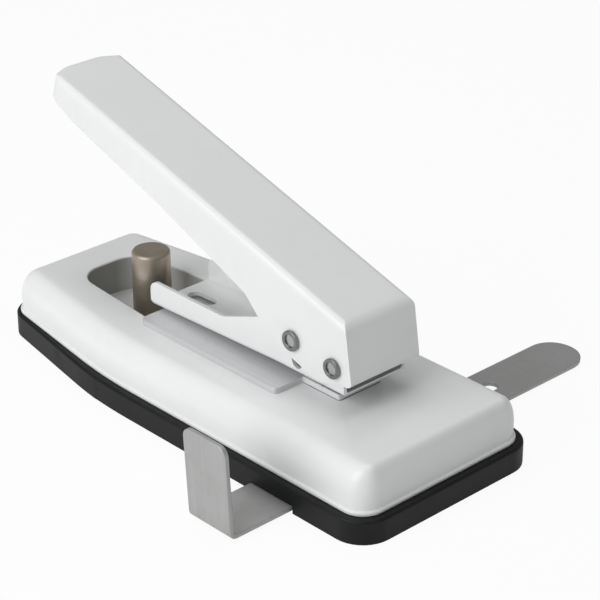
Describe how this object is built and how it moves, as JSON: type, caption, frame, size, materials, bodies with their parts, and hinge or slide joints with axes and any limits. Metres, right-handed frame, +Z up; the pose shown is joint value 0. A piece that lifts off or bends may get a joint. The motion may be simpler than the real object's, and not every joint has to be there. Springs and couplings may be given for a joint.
{
  "type": "id card slot punch",
  "caption": "Desk slot punch for ID cards: white cover on a black chip tray, long lever, slot punch and die, round stop post and a sliding side guide.",
  "frame": {"origin": "centre of the flat underside of the base", "axes": "+Z up; +X along the base towards the lever's pivot end; -Y towards the side on which the guide's fence stands"},
  "size_m": [0.225, 0.1999, 0.1149],
  "materials": {
    "chip_tray": "fine grained black plastic",
    "base_plate": "bare steel plate",
    "top_cover": "smooth white enamel",
    "recess_collar": "bare dark sheet steel",
    "base_screws": "zinc plated",
    "die_block": "machined steel",
    "card_table": "bright nickel plated steel",
    "die_insert": "ground tool steel",
    "throat_spacer": "machined steel",
    "frame": "smooth white enamel",
    "frame_bolts": "zinc plated",
    "cheek_front": "machined steel",
    "cheek_rear": "machined steel",
    "punch": "ground tool steel",
    "drive_pin": "ground steel",
    "drive_pin_caps": "zinc plated",
    "pivot_pin": "ground steel",
    "pivot_pin_caps": "zinc plated",
    "return_spring": "spring wire",
    "handle": "smooth white enamel",
    "stop_post": "turned steel, nickel plated",
    "stop_post_screw": "zinc plated",
    "side_guide": "bare sheet steel",
    "guide_screw": "zinc plated",
    "guide_washer": "zinc plated"
  },
  "bodies": {
    "base": {"chip_tray": "chip_tray", "base_plate": "base_plate", "top_cover": "top_cover", "recess_collar": "recess_collar", "base_screws": "base_screws", "die_block": "die_block", "card_table": "card_table", "die_insert": "die_insert", "throat_spacer": "throat_spacer", "frame": "frame", "frame_bolts": "frame_bolts", "cheek_front": "cheek_front", "cheek_rear": "cheek_rear", "pivot_pin": "pivot_pin", "pivot_pin_caps": "pivot_pin_caps", "return_spring": "return_spring", "stop_post": "stop_post", "stop_post_screw": "stop_post_screw", "guide_screw": "guide_screw", "guide_washer": "guide_washer"},
    "lever": {"handle": "handle", "drive_pin": "drive_pin", "drive_pin_caps": "drive_pin_caps"},
    "plunger": {"punch": "punch"},
    "guide": {"side_guide": "side_guide"}
  },
  "joints": [
    {"name": "lever_hinge", "type": "hinge", "parent": "base", "child": "lever", "pos_m": [0.0677, 0, 0.0461], "axis": [0, -1, 0], "range_deg": [0, 25], "stiffness_Nm_per_rad": 0.6, "springref_deg": -22.92, "deforming": ["return_spring"]},
    {"name": "punch_slide", "type": "slide", "parent": "base", "child": "plunger", "axis": [0, 0, -1], "range_m": [0, 0.0098]},
    {"name": "guide_slide", "type": "slide", "parent": "base", "child": "guide", "axis": [0, 1, 0], "range_m": [-0.07, 0.018]}
  ],
  "couplings": [
    {"joint": "punch_slide", "follows": "lever_hinge", "m_per_rad": 0.02197}
  ]
}
